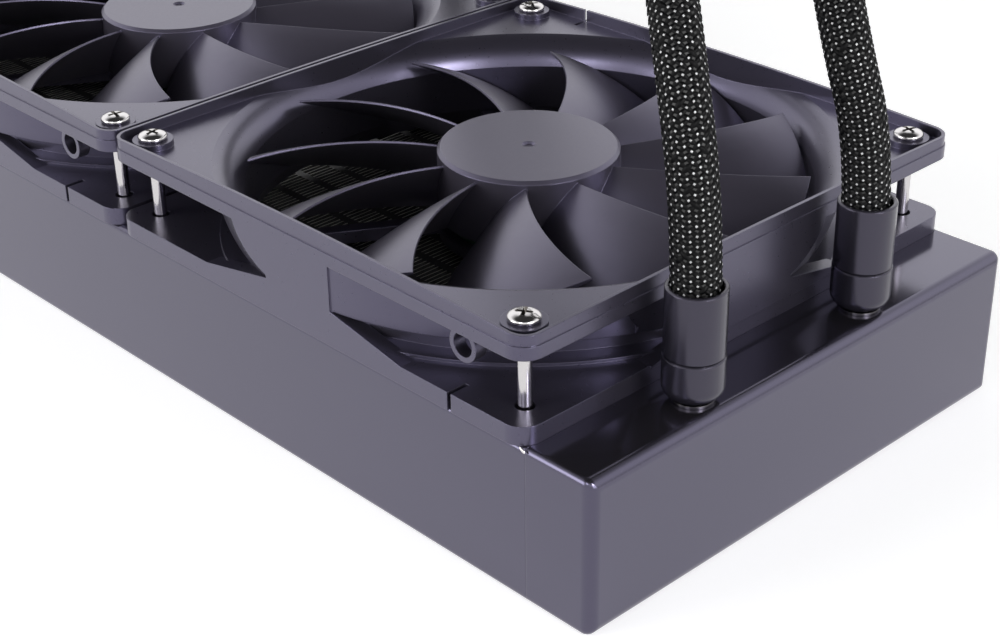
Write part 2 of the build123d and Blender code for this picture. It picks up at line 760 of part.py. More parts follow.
def pump_elbow():
    """A right-angled fitting in the pump's side, turning up to the hose; its port is the origin."""
    barrel = Cylinder(fitting_radius, elbow_reach - neck_rise, align=(Align.CENTER, Align.CENTER, Align.MIN))
    barrel = chamfer(barrel.edges().group_by(Axis.Z)[0], elbow_edge)
    neck = Cylinder(neck_radius, neck_insertion + neck_rise + 1,
                    align=(Align.CENTER, Align.CENTER, Align.MIN))
    level = Pos(neck_rise, 0, 0) * Rot(0, 90, 0) * barrel
    level += Pos(-neck_insertion, 0, 0) * Rot(0, 90, 0) * neck
    elbow = level + Pos(elbow_reach, 0, 0) * Sphere(fitting_radius)
    elbow += rod(fitting_radius, 0, fitting_seam, elbow_reach, 0)
    way_in = Cylinder(coolant_radius, elbow_reach + neck_insertion + 1,
                      align=(Align.CENTER, Align.CENTER, Align.MIN))
    elbow -= Pos(-neck_insertion - 1, 0, 0) * Rot(0, 90, 0) * way_in
    elbow -= Pos(elbow_reach, 0, 0) * Sphere(coolant_radius)
    return elbow - rod(coolant_radius, 0, fitting_seam + 1, elbow_reach, 0)


def hose(which):
    """A hose along straight runs and tangent arcs, and its length along the middle."""
    start = (port_x, port_ys[which], radiator_height + fitting_seam)
    end = (pump_hose_x, pump_port_ys[which], port_height + fitting_seam)
    points = [Vector(*p) for p in [start, *hose_corners[which], end]]
    runs = [b - a for a, b in zip(points, points[1:])]
    radii = []
    for a, b in zip(runs, runs[1:]):
        half_turn = radians(a.get_angle(b)) / 2
        radii.append(0.45 * min(a.length, b.length) / tan(half_turn))
    path = FilletPolyline(*points, radius=radii)
    section = Plane(origin=points[0], z_dir=runs[0]) * Circle(hose_radius)
    tube = sweep(section, path=path)
    print(f"hose {which}: length {path.length:.1f}, smallest radius {min(radii):.1f},"
          f" volume {tube.volume:.0f}, section times length {pi * hose_radius ** 2 * path.length:.0f}")
    print("  runs", [round(run.length, 1) for run in runs])
    print("  radii", [round(radius, 1) for radius in radii])
    return tube


# Pump block, round its own middle on z = 0


def cold_plate():
    """The copper plate that touches the processor, with skived fins on top."""
    plate = extrude(chamfer(Rectangle(plate_size, plate_size).vertices(), plate_corner), plate_thickness)
    fins = []
    for k in range(skived_fin_count):
        x = (k - (skived_fin_count - 1) / 2) * skived_fin_pitch
        fins.append(block(x - skived_fin_thickness / 2, x + skived_fin_thickness / 2,
                          -skived_fin_length / 2, skived_fin_length / 2,
                          plate_thickness - 0.2, plate_thickness + skived_fin_height))
    return plate + fins


def plate_gasket():
    """The flat seal between the cold plate and the pump's base."""
    outer = rounded_slab(gasket_size, gasket_size, gasket_corner, plate_thickness,
                         plate_thickness + gasket_thickness)
    inner_size = gasket_size - 2 * gasket_width
    inner_corner = gasket_corner - gasket_width
    return outer - rounded_slab(inner_size, inner_size, inner_corner, plate_thickness - 1, ledge_height)


def pump_base():
    """The base casting: a chamber over the plate, the impeller's cavity and the two ports."""
    low = rounded_slab(base_size, base_size, base_corner, plate_thickness, ledge_height)
    high = rounded_slab(base_upper_size, base_upper_size, base_corner - 3, ledge_height - 1, base_top)
    base = low + high
    base -= block(-chamber_size / 2, chamber_size / 2, -chamber_size / 2, chamber_size / 2,
                  plate_thickness - 1, chamber_top)
    groove = rounded_slab(gasket_size, gasket_size, gasket_corner, plate_thickness - 1,
                          plate_thickness + gasket_thickness)
    inner_size = gasket_size - 2 * gasket_width
    inner_corner = gasket_corner - gasket_width
    base -= groove - rounded_slab(inner_size, inner_size, inner_corner, plate_thickness - 2, ledge_height)
    base -= rod(cavity_radius, cavity_bottom, base_top + 1)
    base -= rod(impeller_shaft_radius + seat_gap, cavity_bottom - shaft_seat_depth, base_top)
    for k in range(4):
        angle = radians(45 + 90 * k)
        base -= rod(inlet_hole_radius, chamber_top - 1, cavity_bottom + 1,
                    inlet_hole_circle * cos(angle), inlet_hole_circle * sin(angle))
    half = base_upper_size / 2
    for y in (-pump_port_spacing / 2, pump_port_spacing / 2):
        seat = Cylinder(neck_radius + seat_gap, 2 * neck_insertion)
        base -= Pos(half, y, port_height) * Rot(0, 90, 0) * seat
    outlet = Cylinder(coolant_radius, half, align=(Align.CENTER, Align.CENTER, Align.MIN))
    base -= Pos(half / 2, pump_port_spacing / 2, port_height) * Rot(0, 90, 0) * outlet
    inlet_x = (cavity_radius + half - neck_insertion) / 2
    inlet_y = -pump_port_spacing / 2
    inlet = Cylinder(coolant_radius, half - inlet_x, align=(Align.CENTER, Align.CENTER, Align.MIN))
    base -= Pos(inlet_x, inlet_y, port_height) * Rot(0, 90, 0) * inlet
    base -= rod(coolant_radius, chamber_top - 1, port_height, inlet_x, inlet_y)
    base -= block(chamber_size / 2 - 1, inlet_x + coolant_radius, inlet_y - coolant_radius,
                  inlet_y + coolant_radius, plate_thickness - 1, chamber_top)
    return base


def impeller():
    """The pump's wheel: a hub that carries the magnet, a disc and straight vanes under it."""
    wheel = rod(impeller_hub_radius, vane_bottom, impeller_top)
    wheel += rod(impeller_radius, impeller_disc_bottom, impeller_disc_top)
    vane = block(impeller_hub_radius - 1, impeller_radius, -vane_thickness / 2, vane_thickness / 2,
                 vane_bottom, impeller_disc_bottom + 0.2)
    wheel += [Rot(0, 0, 360 / vane_count * k) * vane for k in range(vane_count)]
    wheel &= rod(impeller_radius, 0, impeller_top)
    return wheel - rod(impeller_shaft_radius + running_gap, 0, impeller_top + 1)


def impeller_magnet():
    """The ring magnet on the impeller's hub."""
    return ring(impeller_magnet_radius, impeller_hub_radius + seat_gap, impeller_magnet_bottom,
                impeller_top - 0.5)


def impeller_shaft():
    """The fixed pin that the impeller turns on."""
    return rod(impeller_shaft_radius, cavity_bottom - shaft_seat_depth, can_height - can_wall)


def divider():
    """The sealed plate and can between the coolant and the windings, with the board's posts."""
    top = base_top + divider_thickness
    outer = can_inner_radius + can_wall
    plate = rounded_slab(divider_size, divider_size, base_corner - 4, base_top, top)
    plate += rod(outer, base_top, can_height)
    plate += rod(impeller_shaft_radius + 1.5, impeller_top + 0.6, can_height)
    plate += [rod(post_radius, base_top, pump_board_bottom, x, y)
              for x, y in corners_of(2 * post_place, 2 * post_place)]
    plate -= rod(can_inner_radius, base_top - 1, impeller_top + 0.6)
    room = ring(can_inner_radius, impeller_shaft_radius + 1.5, impeller_top + 0.5, can_height - can_wall)
    plate -= room
    return plate - rod(impeller_shaft_radius + seat_gap, base_top - 1, can_height - can_wall)


def pump_stator():
    """The ring of iron round the can, with a pole for each winding."""
    inner = can_inner_radius + can_wall + 0.3
    core = ring(pump_stator_radius, pump_stator_radius - 3, pump_stator_bottom, pump_stator_top)
    core += [Rot(0, 0, 360 / pump_pole_count * k)
             * block(inner, pump_stator_radius - 2.5, -pump_pole_width / 2, pump_pole_width / 2,
                     pump_stator_bottom, pump_stator_top) for k in range(pump_pole_count)]
    return core - rod(inner, 0, 2 * can_height)


def pump_coils():
    """The windings on the pump's poles."""
    wall = 1.0
    half = pump_pole_width / 2
    coil = block(can_inner_radius + can_wall + 1.5, pump_stator_radius - 3.3, -half - wall, half + wall,
                 pump_stator_bottom - wall, pump_stator_top + wall)
    coil -= block(0, pump_stator_radius, -half - seat_gap, half + seat_gap,
                  pump_stator_bottom - seat_gap, pump_stator_top + seat_gap)
    return Compound([(Rot(0, 0, 360 / pump_pole_count * k) * coil).solid() for k in range(pump_pole_count)])


def pump_board():
    """The pump's circuit board on the divider's posts."""
    top = pump_board_bottom + pump_board_thickness
    return rounded_slab(pump_board_size, pump_board_size, pump_board_corner, pump_board_bottom, top)


def pump_housing():
    """The cover over the pump's motor, with a round seat for the cap."""
    outer = rounded_slab(base_size, base_size, base_corner, base_top, pump_housing_top)
    top = outer.faces().sort_by(Axis.Z)[-1]
    outer = fillet(top.edges(), pump_housing_edge)
    inner = base_size - 2 * pump_housing_wall
    outer -= rounded_slab(inner, inner, base_corner - pump_housing_wall, base_top - 1,
                          pump_housing_top - pump_housing_wall - cap_thickness)
    outer -= rod(cap_radius + seat_gap, pump_housing_top - cap_thickness, pump_housing_top + 1)
    hole = Cylinder(gland_radius + seat_gap, 4 * pump_housing_wall)
    return outer - Pos(0, base_size / 2, gland_height) * Rot(90, 0, 0) * hole


def pump_cap():
    """The plain round disc set in the top of the housing."""
    disc = rod(cap_radius, pump_housing_top - cap_thickness, pump_housing_top + 0.4)
    return chamfer(disc.edges().group_by(Axis.Z)[-1], 0.35)


def pump_gland():
    """The rubber grommet in the housing's back that the pump's lead would leave through."""
    y = base_size / 2
    outline = turned(lines((gland_bore, -pump_housing_wall - 1), (gland_radius, -pump_housing_wall - 1),
                           (gland_radius, 0), (gland_collar_radius, 0),
                           (gland_collar_radius, gland_collar_length),
                           (gland_radius, gland_length), (gland_bore, gland_length),
                           (gland_bore, -pump_housing_wall - 1)))
    return Pos(0, y, gland_height) * Rot(-90, 0, 0) * outline


def pump_bracket():
    """The steel mounting frame round the base, with an eye for a bolt at each corner."""
    bottom = ledge_height
    top = ledge_height + bracket_thickness
    opening = base_upper_size + 2 * 0.2
    band = opening + 2 * bracket_band
    frame = rounded_slab(band, band, base_corner - 2, bottom, top)
    places = corners_of(bracket_spacing, bracket_spacing)
    for x, y in places:
        length = (x ** 2 + y ** 2) ** 0.5
        turn = Rot(0, 0, 45 if x * y > 0 else -45)
        if x < 0:
            turn = turn * Rot(0, 0, 180)
        frame += turn * block(opening / 2, length, -bracket_arm_width / 2, bracket_arm_width / 2, bottom, top)
        frame += rod(bracket_eye_radius, bottom, top, x, y)
    frame -= rounded_slab(opening, opening, base_corner - 3, bottom - 1, top + 1)
    return frame - [rod(bracket_hole_radius, bottom - 1, top + 1, x, y) for x, y in places]


def plate_screws():
    """The four countersunk screws that hold the cold plate to the pump's base."""
    one = turned(lines((0, 0.1), (plate_screw_head_radius, 0.1),
                       (plate_screw_radius, plate_screw_head_depth),
                       (plate_screw_radius, plate_screw_reach), (0, plate_screw_reach), (0, 0.1)))
    places = corners_of(2 * plate_screw_place, 2 * plate_screw_place)
    return Compound([(Pos(x, y, 0) * one).solid() for x, y in places])


def plate_screw_holes():
    """The holes for those screws, cut in the plate and the base."""
    wide = plate_screw_head_radius + seat_gap
    narrow = plate_screw_radius + seat_gap
    end = plate_screw_reach + 0.2
    one = turned(lines((0, -0.1), (wide, -0.1), (wide, 0.1), (narrow, plate_screw_head_depth),
                       (narrow, end), (0, end), (0, -0.1)))
    places = corners_of(2 * plate_screw_place, 2 * plate_screw_place)
    return [Pos(x, y, 0) * one for x, y in places]


def build_fans():
    """Both fans, on top of the radiator."""
    for name, x in fan_places.items():
        for piece, shape in fan_pieces(name).items():
            save(f"{name}_{piece}", Pos(x, 0, radiator_height) * shape)


def build_radiator():
    """The radiator's shell and core."""
    save("hose_end_tank", hose_end_tank())
    save("far_end_tank", far_end_tank())
    save("hose_end_header", header(hose_tank_x + header_inset, hose_tank_x + header_inset + header_thickness))
    save("far_end_header", header(far_tank_x - header_inset - header_thickness, far_tank_x - header_inset))
    save("near_side_channel", side_channel(-1))
    save("far_side_channel", side_channel(1))
    save("core_tubes", core_tubes())
    save("core_fins", core_fins())
    save("core_side_plates", core_plates())


def build_hoses():
    """The hoses and the fittings at both of their ends."""
    for which in ("near", "far"):
        on_tank = Pos(port_x, port_ys[which], radiator_height)
        save(f"{which}_fitting_body", on_tank * fitting_body())
        save(f"{which}_fitting_collar", on_tank * fitting_collar())
        save(f"{which}_fitting_ferrule", on_tank * fitting_ferrule())
        on_pump = Pos(pump_face_x, pump_port_ys[which], port_height)
        save(f"{which}_pump_elbow", on_pump * pump_elbow())
        save(f"{which}_pump_ferrule", on_pump * Pos(elbow_reach, 0, 0) * fitting_ferrule())
        save(f"{which}_hose", hose(which))


def build_pump():
    """The pump block beside the radiator."""
    place = Pos(pump_x, pump_y, 0)
    holes = plate_screw_holes()
    pieces = {
        "cold_plate": cold_plate() - holes,
        "plate_screws": plate_screws(),
        "plate_gasket": plate_gasket(),
        "pump_base": pump_base() - holes,
        "impeller": impeller(),
        "impeller_magnet": impeller_magnet(),
        "impeller_shaft": impeller_shaft(),
        "pump_divider": divider(),
        "pump_stator": pump_stator(),
        "pump_coils": pump_coils(),
        "pump_board": pump_board(),
        "pump_housing": pump_housing(),
        "pump_cap": pump_cap(),
        "pump_gland": pump_gland(),
        "pump_bracket": pump_bracket(),
    }
    for name, shape in pieces.items():
        save(name, place * shape)


build_radiator()
build_fans()
build_hoses()
build_pump()
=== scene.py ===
import json
import random
from math import cos, pi, radians, sin

import bpy
from mathutils import Euler, Matrix, Vector


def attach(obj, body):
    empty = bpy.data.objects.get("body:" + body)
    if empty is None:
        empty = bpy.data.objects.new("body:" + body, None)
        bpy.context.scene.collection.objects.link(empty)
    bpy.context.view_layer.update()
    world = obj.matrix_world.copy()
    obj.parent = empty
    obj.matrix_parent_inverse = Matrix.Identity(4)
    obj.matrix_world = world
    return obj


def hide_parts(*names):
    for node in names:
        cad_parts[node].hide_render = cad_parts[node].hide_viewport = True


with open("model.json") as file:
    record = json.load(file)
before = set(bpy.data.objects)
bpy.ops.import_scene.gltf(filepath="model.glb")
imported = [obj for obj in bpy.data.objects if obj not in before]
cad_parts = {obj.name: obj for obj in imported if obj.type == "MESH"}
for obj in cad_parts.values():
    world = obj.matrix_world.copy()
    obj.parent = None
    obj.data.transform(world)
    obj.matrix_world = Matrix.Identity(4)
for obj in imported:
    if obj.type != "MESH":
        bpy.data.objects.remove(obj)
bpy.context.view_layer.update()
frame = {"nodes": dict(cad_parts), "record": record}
nodes = frame["nodes"]
mm = 0.001
print("frame loaded:", len(nodes), "nodes")


# camera, found from the fans' holes and rims in the photograph

cameraView = {
    "place": (0.36327, -0.28626, 0.23730),     # metres
    "azimuth": 46.715,     # degrees, level turn of the view from +Y
    "elevation": 28.79,
    "roll": -0.866,
    "lens": 68.6,          # millimetres, as the sensor
    "sensor": 36.0,
    "reach": (0.01, 20),   # nearest and farthest that it sees, metres
}


def makeCamera(view):
    data = bpy.data.cameras.new("photoCamera")
    data.lens = view["lens"]
    data.sensor_width = view["sensor"]
    data.clip_start, data.clip_end = view["reach"]
    camera = bpy.data.objects.new("photoCamera", data)
    bpy.context.scene.collection.objects.link(camera)
    level = Euler((radians(90 - view["elevation"]), 0, radians(view["azimuth"]))).to_matrix()
    turn = (level @ Matrix.Rotation(radians(view["roll"]), 3, "Z")).to_4x4()
    camera.matrix_world = Matrix.Translation(view["place"]) @ turn
    bpy.context.scene.camera = camera


makeCamera(cameraView)
print("camera set")


# small helpers for meshes

def newObject(name, mesh):
    piece = bpy.data.objects.new(name, mesh)
    bpy.context.scene.collection.objects.link(piece)
    return piece


def meshFrom(name, points, faces, smooth=True):
    mesh = bpy.data.meshes.new(name)
    mesh.from_pydata(points, [], faces)
    for polygon in mesh.polygons:
        polygon.use_smooth = smooth
    mesh.validate()
    return mesh


def latheMesh(name, outline, steps):
    # outline: (radius, height) in millimetres, turned about Z; a radius of 0 closes on the axis
    points = []
    rings = []
    for radius, height in outline:
        if radius == 0:
            rings.append([len(points)] * steps)
            points.append((0, 0, height * mm))
            continue
        rings.append([len(points) + k for k in range(steps)])
        for k in range(steps):
            angle = 2 * pi * k / steps
            points.append((radius * cos(angle) * mm, radius * sin(angle) * mm, height * mm))
    faces = []
    for low, high in zip(rings, rings[1:]):
        for k in range(steps):
            n = (k + 1) % steps
            corner = [low[k], low[n], high[n], high[k]]
            face = [v for i, v in enumerate(corner) if v not in corner[:i]]
            if len(face) > 2:
                faces.append(face)
    return meshFrom(name, points, faces)


def shadeByAngle(piece, limit):
    bpy.context.view_layer.objects.active = piece
    for other in bpy.context.selected_objects:
        other.select_set(False)
    piece.select_set(True)
    bpy.ops.object.shade_smooth_by_angle(angle=radians(limit))
    piece.select_set(False)


def give(piece, material):
    piece.data.materials.clear()
    piece.data.materials.append(material)


# hoses: a smooth dark core with a braid of crowned strands over it

hoseStyle = {                  # metres
    "core": 0.00485,           # radius of the tube under the braid
    "outer": 0.00508,          # radius of the strands' middle
    "strands": 12,             # each way round
    "lead": 0.0234,            # along the hose, for one full turn of a strand
    "width": 0.00124,
    "lift": 0.00020,           # how far a strand rises where it goes over another
    "crown": 0.00040,          # how far its edges lie lower than its middle
    "section": [(-0.5, 1.0), (-0.17, 0.0), (0.17, 0.0), (0.5, 1.0)],     # shares of width and crown
    "stations": (-0.13, 0.13, 0.5),      # along each crossing, with 0 at its crown
    "paintedGlints": 0.93,            # share of the crowns that carry a painted highlight
    "seed": 7,                 # which crowns they are
    "routeSteps": 24,          # pieces of the smooth line between two corner points
    "roundSteps": 8,
}

# the routes' corner points in millimetres, the same as the solids follow
hoseRoutes = {
    "near": [(149.2, -31.4, 47.8), (149.2, -31.4, 75.4), (135.8, -24.2, 108.6), (113.2, -6.4, 132.8),
             (84.4, 14.2, 144.7), (48.5, 38.8, 147.2), (10.0, 58.8, 143.6), (-21.5, 75.6, 133.4),
             (-46.6, 89.5, 117.0), (-66.2, 100.6, 92.7), (-77.0, 107.0, 62.1), (-77.0, 107.0, 28.8)],
    "far": [(149.2, 23.8, 47.8), (149.2, 23.8, 73.8), (140.0, 22.9, 99.2), (121.6, 35.0, 127.2),
            (87.3, 54.2, 144.4), (46.9, 76.2, 147.7), (3.8, 91.9, 141.8), (-24.4, 103.8, 131.2),
            (-48.8, 115.1, 113.9), (-67.3, 124.0, 90.0), (-77.0, 129.0, 60.4), (-77.0, 129.0, 28.8)],
}


def routeCurve(name, route, bevel):
    curve = bpy.data.curves.new(name, "CURVE")
    curve.dimensions = "3D"
    spline = curve.splines.new("NURBS")
    spline.points.add(len(route) - 1)
    for point, place in zip(spline.points, route):
        point.co = (place[0] * mm, place[1] * mm, place[2] * mm, 1)
        point.radius = bevel       # a curve's box reaches out by this
    spline.order_u = 3
    spline.use_endpoint_u = True
    spline.resolution_u = hoseStyle["routeSteps"]
    curve.bevel_depth = 1 if bevel else 0     # times the points' radius
    curve.bevel_resolution = hoseStyle["roundSteps"]
    curve.use_fill_caps = True
    return curve


def routePoints(route):
    # the smooth line itself, read from the curve without a bevel
    bare = newObject("bareRoute", routeCurve("bareRoute", route, 0))
    bpy.context.view_layer.update()
    mesh = bpy.data.meshes.new_from_object(bare)
    line = [v.co.copy() for v in mesh.vertices]
    bpy.data.objects.remove(bare)
    bpy.data.meshes.remove(mesh)
    return line


def lineFrames(line):
    # distance along the line, direction and a side direction carried without twist, at each point
    lengths = [0.0]
    for a, b in zip(line, line[1:]):
        lengths.append(lengths[-1] + (b - a).length)
    side = Vector((1, 0, 0))
    tangents = []
    sides = []
    for k in range(len(line)):
        tangent = (line[min(k + 1, len(line) - 1)] - line[max(k - 1, 0)]).normalized()
        side = (side - tangent * side.dot(tangent)).normalized()
        tangents.append(tangent)
        sides.append(side.copy())
    return lengths, tangents, sides


def stationFrames(line, places):
    # the same frames at the given shares of the length, so that every strand can use them
    lengths, tangents, sides = lineFrames(line)
    frames = []
    seat = 0
    for place in places:
        along = lengths[-1] * place
        while seat < len(lengths) - 2 and lengths[seat + 1] < along:
            seat += 1
        share = (along - lengths[seat]) / (lengths[seat + 1] - lengths[seat])
        centre = line[seat].lerp(line[seat + 1], share)
        tangent = tangents[seat].lerp(tangents[seat + 1], share).normalized()
        side = sides[seat].lerp(sides[seat + 1], share).normalized()
        frames.append((along, centre, tangent, side, tangent.cross(side)))
    return frames


def braidMesh(name, line, style):
    # strands both ways round, each over at every second crossing; material 1 is a painted highlight on a
    # crown
    length = lineFrames(line)[0][-1]
    count = style["strands"]
    crossings = round(length / (style["lead"] / (2 * count)))
    stations = [k + part for k in range(crossings) for part in style["stations"]][1:] + [crossings]
    stations[0] = 0
    frames = stationFrames(line, [station / crossings for station in stations])
    chance = random.Random(style["seed"])
    section = style["section"]
    wide = len(section)
    crownSlack = 0.01          # crossings
    points = []
    faces = []
    paintedGlints = []
    for way in (1, -1):
        for strand in range(count):
            first = len(points)
            over = 0 if way > 0 else 1     # one way crowns at the even crossings, the other at the odd
            for n, (along, centre, tangent, side, cross) in enumerate(frames):
                angle = 2 * pi * (way * along / style["lead"] + strand / count)
                place = stations[n] - over
                radius = style["outer"] + style["lift"] * cos(pi * place)
                outward = side * cos(angle) + cross * sin(angle)
                around = cross * cos(angle) - side * sin(angle)
                run = tangent + around * (way * 2 * pi * style["outer"] / style["lead"])
                across = outward.cross(run.normalized())
                for share, drop in section:
                    points.append(centre + outward * (radius - drop * style["crown"])
                                  + across * (share * style["width"]))
                if n == 0:
                    continue
                now = first + wide * n
                before = now - wide
                middle = (stations[n - 1] + stations[n]) / 2 - over
                onCrown = abs(middle - 2 * round(middle / 2)) < crownSlack
                for k in range(wide - 1):
                    faces.append((before + k, before + k + 1, now + k + 1, now + k))
                    paintedGlints.append(k == 1 and onCrown and chance.random() < style["paintedGlints"])
    mesh = meshFrom(name, points, faces)
    mesh.polygons.foreach_set("material_index", [int(paintedGlint) for paintedGlint in paintedGlints])
    return mesh


def makeHose(which):
    route = hoseRoutes[which]
    core = newObject(f"{which}HoseCore", routeCurve(f"{which}HoseCore", route, hoseStyle["core"]))
    braid = newObject(f"{which}HoseBraid", braidMesh(f"{which}HoseBraid", routePoints(route), hoseStyle))
    braid.parent = core
    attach(core, "cooler")
    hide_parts(f"{which}_hose")
    return core, braid


hoses = {which: makeHose(which) for which in hoseRoutes}
print("hoses laid")


# core fins: folded strips between the flat tubes, in place of the solids' coarse ones

finStyle = {                   # millimetres
    "rows": 13,
    "rowPitch": 9.2,
    "gap": 7.2,                # between two tubes
    "fold": 1.45,              # along the radiator from one fold to the next
    "flat": 1.25,              # the part of a fold that lies against a tube
    "sheet": 0.24,
    "mitre": 0.4,              # keeps the sheet from growing at a sharp fold
    "ends": (-138.8, 138.8),
    "low": 3.5,
    "high": 33.5,
}


def finLine(style):
    start, end = style["ends"]
    count = int((end - start) / style["fold"])
    reach = style["gap"] / 2 - style["sheet"] / 2
    line = []
    for k in range(count):
        x = start + style["fold"] * k + (style["fold"] - style["flat"]) / 2
        y = reach if k % 2 else -reach
        line += [(x, y), (x + style["flat"], y)]
    return line


def offsetLine(line, distance, mitre):
    moved = []
    for k, (x, y) in enumerate(line):
        before = line[max(k - 1, 0)]
        after = line[min(k + 1, len(line) - 1)]
        run = Vector((x - before[0], y - before[1])) if k else Vector((after[0] - x, after[1] - y))
        leave = Vector((after[0] - x, after[1] - y)) if k < len(line) - 1 else run
        middle = (run.normalized() + leave.normalized()).normalized()
        reach = distance / max(middle.dot(run.normalized()), mitre)
        moved.append((x - middle.y * reach, y + middle.x * reach))
    return moved


def finMesh(name, style):
    line = finLine(style)
    near = offsetLine(line, -style["sheet"] / 2, style["mitre"])
    far = offsetLine(line, style["sheet"] / 2, style["mitre"])
    points = []
    faces = []
    bare = []
    for row in range(style["rows"]):
        middle = (row - (style["rows"] - 1) / 2) * style["rowPitch"]
        for k in range(len(line)):
            corner = len(points)
            for x, y in (near[k], far[k]):
                for z in (style["low"], style["high"]):
                    points.append((x * mm, (y + middle) * mm, z * mm))
            if k:
                a = corner - 4
                faces += [(a, a + 1, corner + 1, corner), (a + 3, a + 2, corner + 2, corner + 3),
                          (a + 1, a + 3, corner + 3, corner + 1), (a + 2, a, corner, corner + 2)]
                leg = 1 - k % 2
                bare += [0, 0, leg, leg]
    mesh = meshFrom(name, points, faces, smooth=False)
    mesh.polygons.foreach_set("material_index", bare)     # 1 on the legs' cut edges between the tubes: bare metal made lighter as a painted highlight; the flats' cut edges keep the dark paint as painted shade against the tubes
    return mesh


fins = newObject("coreFins", finMesh("coreFins", finStyle))
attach(fins, "cooler")
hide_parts("core_fins")
print("fins folded")


# fan screws: low pan heads with a cross recess, smooth shanks and a short thread at the foot

screwStyle = {                 # millimetres; the heights after the seat's own are measured from it
    "seat": 60.7,              # height of the bosses that the heads sit on
    "steps": 48,
    "head": [(1.55, 0.0), (3.2, 0.0), (3.45, 0.3), (3.5, 0.55), (3.46, 0.82), (3.28, 1.1), (2.9, 1.36),
             (2.3, 1.6), (1.8, 1.74)],
    "recessTop": 1.8,
    "recessFloor": 0.1,
    "armLength": 1.75,
    "armWidth": 0.42,          # half of it
    "floorShare": 0.35,        # the recess's floor against its mouth
    "shank": 1.55,
    "shankTop": -0.02,
    "shankEnd": -22.6,
    "thread": (1.42, 1.2),     # crest and root
    "threadPitch": 0.5,
    "end": -26.0,
    "sharp": 40,               # degrees; a steeper edge stays sharp
    "fanMiddles": {"fan_1": 70.0, "fan_2": -70.0},
    "halfSpacing": 62.25,
    "turns": {"fan_1": (12, 58, 33, 74), "fan_2": (5, 48, 81, 26)},     # degrees, one for each screw
}


def armReach(angle, style):
    # distance from the middle to the cross recess's wall
    turn = abs((angle + pi / 4) % (pi / 2) - pi / 4)
    reach = style["armLength"] / cos(turn)
    return min(reach, style["armWidth"] / sin(turn)) if turn > 0 else reach


def screwMesh(name, style, turns):
    steps = style["steps"]
    points = []
    faces = []

    def addRing(places):
        first = len(points)
        points.extend((x * mm, y * mm, z * mm) for x, y, z in places)
        return [first + k for k in range(len(places))]

    def outline(reach, height):
        angles = [2 * pi * k / steps for k in range(steps)]
        return [(reach(angle) * cos(angle), reach(angle) * sin(angle), height) for angle in angles]

    def level(radius, height):
        return outline(lambda angle: radius, height)

    def cross(share, height):
        return outline(lambda angle: armReach(angle, style) * share, height)

    rings = [addRing(level(style["shank"], style["shankEnd"]))]
    rings += [addRing(level(*place)) for place in [(style["shank"], style["shankTop"])] + style["head"]]
    rings.append(addRing(cross(1.0, style["recessTop"])))
    rings.append(addRing(cross(style["floorShare"], style["recessFloor"])))
    for low, high in zip(rings, rings[1:]):
        for k in range(steps):
            n = (k + 1) % steps
            faces.append((low[k], low[n], high[n], high[k]))
    recessFaces = range(len(faces) - steps, len(faces) + 1)
    faces.append(rings[-1])    # the recess's floor

    crest, root = style["thread"]
    rise = style["threadPitch"]
    count = int((style["shankEnd"] - style["end"]) / rise) * steps
    first = len(points)
    for n in range(count + 1):
        angle = 2 * pi * n / steps
        z = style["shankEnd"] - rise * n / steps
        for radius, height in ((root, z), (crest, z - rise / 2)):
            points.append((radius * cos(angle) * mm, -radius * sin(angle) * mm, height * mm))
    for n in range(count):
        a = first + 2 * n
        faces.append((a, a + 1, a + 3, a + 2))
        if n + steps <= count - 1:
            faces.append((a + 1, a + 2 * steps, a + 2 * steps + 2, a + 3))
    tip = addRing(level(root, style["end"]))
    faces.append(tip[::-1])

    turned = []                # every screw, at its own corner and turn
    allFaces = []
    for (x, y), turn in turns:
        shift = len(turned)
        place = Matrix.Translation((x * mm, y * mm, style["seat"] * mm))
        move = place @ Matrix.Rotation(radians(turn), 4, "Z")
        turned += [move @ Vector(p) for p in points]
        allFaces += [[v + shift for v in face] for face in faces]
    mesh = meshFrom(name, turned, allFaces)
    finish = [int(k in recessFaces) for k in range(len(faces))]     # 1 inside the recess, a darker nickel as painted shade of its depth
    mesh.polygons.foreach_set("material_index", finish * len(turns))
    return mesh


screws = {}
for fan, middle in screwStyle["fanMiddles"].items():
    sides = (-screwStyle["halfSpacing"], screwStyle["halfSpacing"])
    corners = [(middle + x, y) for x in sides for y in sides]
    turns = list(zip(corners, screwStyle["turns"][fan]))
    piece = newObject(f"{fan}Screws", screwMesh(f"{fan}Screws", screwStyle, turns))
    shadeByAngle(piece, screwStyle["sharp"])
    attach(piece, "cooler")
    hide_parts(f"{fan}_screws")
    screws[fan] = piece
print("screws set")


# a bright bead of solder where the tank meets the near channel

beadStyle = {
    "middle": (138.5, -69.15, 36.75),      # millimetres
    "half": (0.95, 0.32, 0.36),            # half its length, width and height
    "turn": 35,                # degrees, nose down
    "steps": 20,
    "bands": 8,
}


def makeBead(style):
    bands = style["bands"]
    outline = [(sin(pi * k / bands), -cos(pi * k / bands)) for k in range(bands + 1)]
    outline[0], outline[-1] = (0, -1), (0, 1)
    bead = newObject("tankBead", latheMesh("tankBead", outline, style["steps"]))
    size = Matrix.Diagonal((*style["half"], 1))
    turn = Matrix.Rotation(radians(style["turn"]), 4, "Y")
    bead.data.transform(Matrix.Translation([v * mm for v in style["middle"]]) @ turn @ size)
    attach(bead, "cooler")
    return bead


bead = makeBead(beadStyle)
print("bead set")


# shared shader effects

def newGroup(name, inputs, outputs):
    group = bpy.data.node_groups.new(name, "ShaderNodeTree")
    for label, kind, value in inputs:
        socket = group.interface.new_socket(name=label, in_out="INPUT", socket_type=kind)
        socket.default_value = value
    for label, kind in outputs:
        group.interface.new_socket(name=label, in_out="OUTPUT", socket_type=kind)
    start = group.nodes.new("NodeGroupInput")
    end = group.nodes.new("NodeGroupOutput")
    return group, start, end


